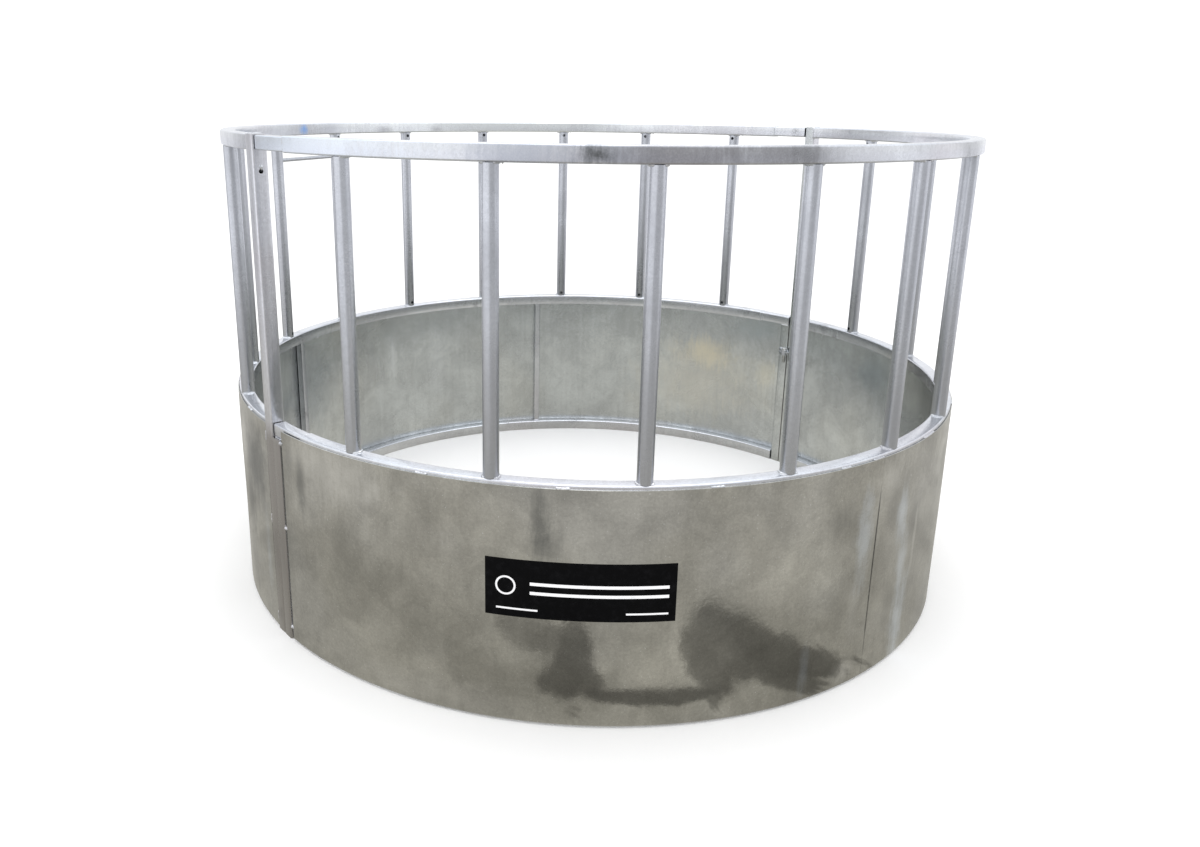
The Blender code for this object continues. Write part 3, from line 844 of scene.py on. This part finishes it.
def make_pin(half):
    """A turned pin: a dished head, a plain shank and a chamfered tip."""
    node = f"{half}_drop_pin"
    low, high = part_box(node)
    centre = (low + high) / 2
    head = (high.x - low.x) / 2
    seat = high.z - PIN_HEAD
    profile = [
        (0.0, high.z - PIN_SOFT_EDGE),
        (head * PIN_DISH[0], high.z - PIN_SOFT_EDGE),
        (head * PIN_DISH[1], high.z),
        (head - PIN_SOFT_EDGE, high.z),
        (head, high.z - PIN_SOFT_EDGE),
        (head, seat + PIN_SOFT_EDGE),
        (head - PIN_SOFT_EDGE, seat),
        (PIN_RADIUS, seat),
        (PIN_RADIUS, low.z + PIN_CHAMFER),
        (PIN_RADIUS - PIN_CHAMFER, low.z),
        (0.0, low.z),
    ]
    shape = bmesh.new()
    verts = [shape.verts.new((centre.x + radius, centre.y, height)) for radius, height in profile]
    edges = [shape.edges.new(pair) for pair in zip(verts, verts[1:])]
    bmesh.ops.spin(shape, geom=verts + edges, cent=(centre.x, centre.y, 0.0), axis=(0, 0, 1),
                   angle=math.tau, steps=PIN_SIDES)
    bmesh.ops.remove_doubles(shape, verts=shape.verts, dist=1e-5)
    make_piece(f"{half}_pin_turned", shape, "pin", node, body=f"{half}_pin")


def make_label():
    """A thin film that follows the sheet behind it."""
    node = "front_label"
    _, _, bottom, top, start, end = span_of(node)
    _, sheet, sheet_bottom, sheet_top, _, _ = span_of("front_first_skirt_sheet")
    middle = math.degrees((start + end) / 2 - HALVES["front"])
    length = (end - start) * sheet
    MATERIALS["label"] = label_film("label_film", middle, sheet, (bottom + top) / 2, length, top - bottom)
    shape = bmesh.new()
    rows = []
    for i in range(LABEL_COLUMNS + 1):
        angle = start + (end - start) * i / LABEL_COLUMNS
        heights = [bottom + (top - bottom) * k / LABEL_ROWS for k in range(LABEL_ROWS + 1)]
        waves = [sheet + sheet_wave(angle, height, sheet_bottom, sheet_top) for height in heights]
        face = [on_circle(wave + FILM_FACE, angle, height) for wave, height in zip(waves, heights)]
        back = [on_circle(wave + FILM_BACK, angle, height) for wave, height in zip(waves, heights)]
        rows.append([shape.verts.new(p) for p in face + back[::-1]])
    join_rows(shape, rows)
    shape.faces.new(rows[0])
    shape.faces.new(rows[-1])
    make_piece("front_label_film", shape, "label", node)


# ---------------------------------------------------------------- welds and zinc


def make_bar_welds(half):
    """Two lobes at each end of each bar, on its sides along the ring."""
    shape = bmesh.new()
    for number in range(1, BAR_COUNT + 1):
        foot, head, radius = bar_axis(f"{half}_feed_bar_{number}")
        outward = math.atan2(foot.y, foot.x)
        for place in (foot, head):
            for side in (math.pi / 2, -math.pi / 2):
                turns = [outward + side + math.radians(turn) for turn in BAR_BEAD_TURNS_DEG]
                arc = [place + on_circle(radius + BEAD_LIFT, turn, 0.0) for turn in turns]
                add_bead(shape, arc, Vector((0, 0, 1)), BAR_BEAD)
    make_piece(f"{half}_bar_welds", shape, "weld")


def box_loop(centre, across, upward, width, height):
    return [centre + across * u + upward * v for u, v in rounded_box(width, height, CORNER_RADIUS)]


def make_ring_welds(half):
    """Beads round the rings where they meet the upright and their end pieces, and round the end bar's top."""
    shape = bmesh.new()
    up = Vector((0, 0, 1))
    for level in ("top", "mid", "low"):
        inner, outer, bottom, top, start, end = span_of(f"{half}_{level}_ring")
        middle = (inner + outer) / 2
        centre = on_circle(middle, end, (bottom + top) / 2)
        loop = box_loop(centre, on_circle(1.0, end, 0.0), up, outer - inner, top - bottom)
        add_bead(shape, loop, on_circle(1.0, end + math.pi / 2, 0.0), RING_BEAD, closed=True)
    for level in ("top", "mid"):
        inner, outer, bottom, top, _, end = span_of(f"{half}_{level}_end_piece")
        centre = on_circle((inner + outer) / 2, end, (bottom + top) / 2)
        loop = box_loop(centre, on_circle(1.0, end, 0.0), up, outer - inner, top - bottom)
        add_bead(shape, loop, on_circle(1.0, end + math.pi / 2, 0.0), END_PIECE_BEAD, closed=True)
    low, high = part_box(f"{half}_end_bar")
    side = -1 if half == "front" else 1
    inset_x, inset_y = END_BAR_WELD_INSET
    centre = Vector(((low.x + high.x - side * inset_x) / 2, (low.y + high.y + side * inset_y) / 2, high.z))
    width, depth = high.x - low.x - inset_x, high.y - low.y - inset_y
    loop = box_loop(centre, Vector((1, 0, 0)), Vector((0, 1, 0)), width, depth)
    add_bead(shape, loop, up, END_PIECE_BEAD, closed=True)
    make_piece(f"{half}_ring_welds", shape, "weld")


def make_skirt_welds(half):
    """Short stitches along the skirt's top edge, bridges to the end bar and ticks at the upright."""
    shape = bmesh.new()
    up = Vector((0, 0, 1))
    turn = HALVES[half]
    _, outer, bottom, top, start, _ = span_of(f"{half}_first_skirt_sheet")
    _, _, _, _, _, last = span_of(f"{half}_second_skirt_sheet")
    ring_outer = span_of(f"{half}_mid_ring")[1]
    for first, second in STITCHES_DEG:
        turns = [turn + math.radians(first + (second - first) * i / 6) for i in range(7)]
        arc = [on_circle(ring_outer + STITCH_LIFT, angle, top + BEAD_LIFT) for angle in turns]
        add_bead(shape, arc, up, STITCH_BEAD, ends=STITCH_END)
    slot = math.asin(BRIDGE_SLOT / outer)
    for height in BRIDGE_HEIGHTS:
        bridge = [on_circle(outer - BRIDGE_SINK, start - slot * share, height) for share in BRIDGE_SHARES]
        add_bead(shape, bridge, up, BRIDGE_BEAD)
        tick = [on_circle(outer, last, height + reach) for reach in (-TICK_REACH, 0.0, TICK_REACH)]
        add_bead(shape, tick, on_circle(1.0, last, 0.0), STITCH_BEAD)
    make_piece(f"{half}_skirt_welds", shape, "weld")


def make_stiffener_welds(half):
    shape = bmesh.new()
    for number in (1, 2):
        node = f"{half}_skirt_stiffener_{number}"
        low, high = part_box(node)
        centre = (low + high) / 2
        outward = Vector((centre.x, centre.y, 0.0)).normalized()
        along = Vector((-outward.y, outward.x, 0.0))
        size = stiffener_size(node)
        for height in (low.z, high.z):
            loop = box_loop(Vector((centre.x, centre.y, height)), outward, along, size, size)
            add_bead(shape, loop, Vector((0, 0, 1)), STIFFENER_BEAD, closed=True)
    make_piece(f"{half}_stiffener_welds", shape, "weld")


def make_lug_welds(half):
    """Beads over and under each lug where it meets its post."""
    shape = bmesh.new()
    for which in ("fork_upper", "fork_lower", "tongue"):
        low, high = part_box(f"{half}_{which}_lug")
        post_low, post_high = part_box(f"{half}_upright" if which == "tongue" else f"{half}_end_bar")
        face = post_low.x if post_low.x > 0 else post_high.x
        for height in (low.z, high.z):
            line = [Vector((face, post_low.y + LUG_WELD_INSET, height)),
                    Vector((face, post_high.y - LUG_WELD_INSET, height))]
            add_bead(shape, line, Vector((1, 0, 0)), STIFFENER_BEAD)
    make_piece(f"{half}_lug_welds", shape, "weld")


def make_zinc_drops(half, seed):
    """Small beads of zinc left hanging where it ran off, and the plug beside the upright's vent."""
    dice = random.Random(seed)
    shape = bmesh.new()
    inner, outer, bottom, _, _, _ = span_of(f"{half}_top_ring")
    _, _, mid_bottom, _, _, _ = span_of(f"{half}_mid_ring")
    for number in range(1, BAR_COUNT + 1):
        _, head, radius = bar_axis(f"{half}_feed_bar_{number}")
        outward = math.atan2(head.y, head.x)
        for side in (-1, 1):
            if dice.random() < DROP_CHANCE:
                angle = outward + side * (radius + dice.uniform(0.004, 0.014))
                place = on_circle(dice.uniform(inner + 0.004, outer - 0.002), angle, bottom)
                add_drop(shape, place, dice.uniform(0.0014, 0.0026), dice.uniform(0.002, 0.0045))
        angle = outward + math.radians(dice.uniform(2.0, 16.0))
        place = on_circle(inner + dice.uniform(0.0, 0.006), angle, mid_bottom)
        add_drop(shape, place, dice.uniform(0.0012, 0.0022), dice.uniform(0.002, 0.004))
    vent, facing = upright_vent(half)
    add_drop(shape, vent + Vector((0.0, 0.0, VENT_PLUG_RISE)) + facing * VENT_PLUG_PROUD, *VENT_PLUG)
    make_piece(f"{half}_zinc_drops", shape, "weld")


# ---------------------------------------------------------------- stage


def side_tones(tree, azimuth):
    """Brightness round the horizon: pale on three sides, with darker stretches between them."""
    wall = WALL_BASE
    for centre, half_width, soft, extra in PALE_WALLS:
        wall = maths(tree, "MULTIPLY_ADD", band(tree, azimuth, centre, half_width, soft), extra, wall)
    return wall


def ground_patches(tree, place, wander, patches):
    """The strongest of the ragged oval patches at each place."""
    strongest = 0.0
    for centre, reach, turn, strength in patches:
        settings = {"Vector": place, "Location": (*centre, 0.0), "Scale": (*reach, 1.0),
                    "Rotation": (0.0, 0.0, math.radians(turn))}
        oval = add_node(tree, "Mapping", settings, vector_type="TEXTURE").outputs[0]
        distance = add_node(tree, "VectorMath", {0: oval}, operation="LENGTH").outputs["Value"]
        ragged = maths(tree, "MULTIPLY_ADD", wander, 1.7, distance)
        strongest = maths(tree, "MAXIMUM", strongest, spread(tree, ragged, 0.80, 1.08, strength, 0.0))
    return strongest


def make_stage():
    """A plain pale floor to the eye. To glossy rays alone it glows in softer, patchy tones, so that the metal
    shows painted reflections of a farmyard ground.
    """
    material, tree, shader, place = new_material("floor")
    shader.inputs["Base Color"].default_value = FLOOR_TONE
    shader.inputs["Roughness"].default_value = 1.0
    shader.inputs["Specular IOR Level"].default_value = 0.0
    azimuth, parts = azimuth_degrees(tree, place, 0.0)
    squares = maths(tree, "MULTIPLY_ADD", parts[0], parts[0], maths(tree, "MULTIPLY", parts[1], parts[1]))
    away = maths(tree, "SQRT", squares)
    colour = GROUND_CENTRE_TONE
    for rim, tone in GROUND_RINGS:
        colour = blend(tree, spread(tree, away, *rim), colour, tone)
    rim, tone = GROUND_FAR
    far = blend(tree, 1.0, tone, side_tones(tree, azimuth), "MULTIPLY")
    colour = blend(tree, spread(tree, away, *rim), colour, far)
    uneven = spread(tree, cloud(tree, place, 2.2, 6.0, 0.62, 0.5), 0.36, 0.62, 0.84, 1.08)
    colour = blend(tree, 1.0, colour, uneven, "MULTIPLY")
    wander = maths(tree, "SUBTRACT", cloud(tree, place, 7.0, 7.0, 0.68, 1.0), 0.5)
    darks = ground_patches(tree, place, wander, GROUND_DARKS)
    lights = ground_patches(tree, place, wander, GROUND_LIGHTS)
    share = maths(tree, "MULTIPLY", maths(tree, "SUBTRACT", 1.0, darks), maths(tree, "ADD", 1.0, lights))
    colour = blend(tree, 1.0, colour, share, "MULTIPLY")
    mirrored = add_node(tree, "Emission", {"Color": colour, "Strength": 1.0})
    rays = add_node(tree, "LightPath")
    mix = add_node(tree, "MixShader", {0: rays.outputs["Is Glossy Ray"], 1: shader.outputs[0],
                                       2: mirrored.outputs[0]})
    tree.links.new(mix.outputs[0], tree.nodes["Material Output"].inputs["Surface"])
    mesh = bpy.data.meshes.new("floor")
    shape = bmesh.new()
    bmesh.ops.create_circle(shape, cap_ends=True, segments=64, radius=FLOOR_RADIUS)
    shape.to_mesh(mesh)
    shape.free()
    mesh.materials.append(material)
    floor = bpy.data.objects.new("floor", mesh)
    bpy.context.scene.collection.objects.link(floor)


def make_studio():
    """A white studio: metal mirrors softboxes at two sides, a dimmer third side and a bright ceiling."""
    world = bpy.data.worlds.new("studio")
    bpy.context.scene.world = world
    world.use_nodes = True
    tree = world.node_tree
    background = tree.nodes["Background"]
    direction = add_node(tree, "TexCoord").outputs["Generated"]
    azimuth, parts = azimuth_degrees(tree, direction, 0.0)
    wall_colour = blend(tree, 1.0, WALL_TONE, side_tones(tree, azimuth), "MULTIPLY")
    mirrored = blend(tree, spread(tree, parts[2], *CEILING_FROM), wall_colour, CEILING_TONE)
    rays = add_node(tree, "LightPath")
    lit = blend(tree, rays.outputs["Is Glossy Ray"], STUDIO_TONE, mirrored)
    tree.links.new(lit, background.inputs["Color"])
    data = bpy.data.lights.new("overhead", "AREA")
    data.size = OVERHEAD_SIZE
    data.energy = OVERHEAD_POWER
    light = bpy.data.objects.new("overhead", data)
    light.location = (0.0, 0.0, OVERHEAD_HEIGHT)
    bpy.context.scene.collection.objects.link(light)
    bpy.context.scene.view_settings.view_transform = "Standard"


def make_camera():
    data = bpy.data.cameras.new("camera")
    data.lens = CAMERA_LENS
    data.sensor_width = CAMERA_SENSOR
    data.shift_x, data.shift_y = CAMERA_SHIFT
    camera = bpy.data.objects.new("camera", data)
    round_object = Matrix.Rotation(math.radians(CAMERA_TURN_DEG), 4, "Z")
    place = Matrix.Translation((0.0, -CAMERA_DISTANCE, CAMERA_HEIGHT))
    yaw = Matrix.Rotation(math.radians(-CAMERA_YAW_DEG), 4, "Z")
    pitch = Matrix.Rotation(math.radians(90.0 - CAMERA_PITCH_DEG), 4, "X")
    roll = Matrix.Rotation(math.radians(CAMERA_ROLL_DEG), 4, "Z")
    camera.matrix_world = round_object @ place @ yaw @ pitch @ roll
    bpy.context.scene.collection.objects.link(camera)
    bpy.context.scene.camera = camera


make_camera()
make_studio()
make_stage()
for seed, half in enumerate(HALVES):
    make_rings(half)
    make_posts(half)
    make_bars(half)
    make_sheets(half)
    make_stiffeners(half)
    make_lift_rod(half)
    make_lugs(half)
    make_pin(half)
    make_bar_welds(half)
    make_ring_welds(half)
    make_skirt_welds(half)
    make_stiffener_welds(half)
    make_lug_welds(half)
    make_zinc_drops(half, seed)
make_label()
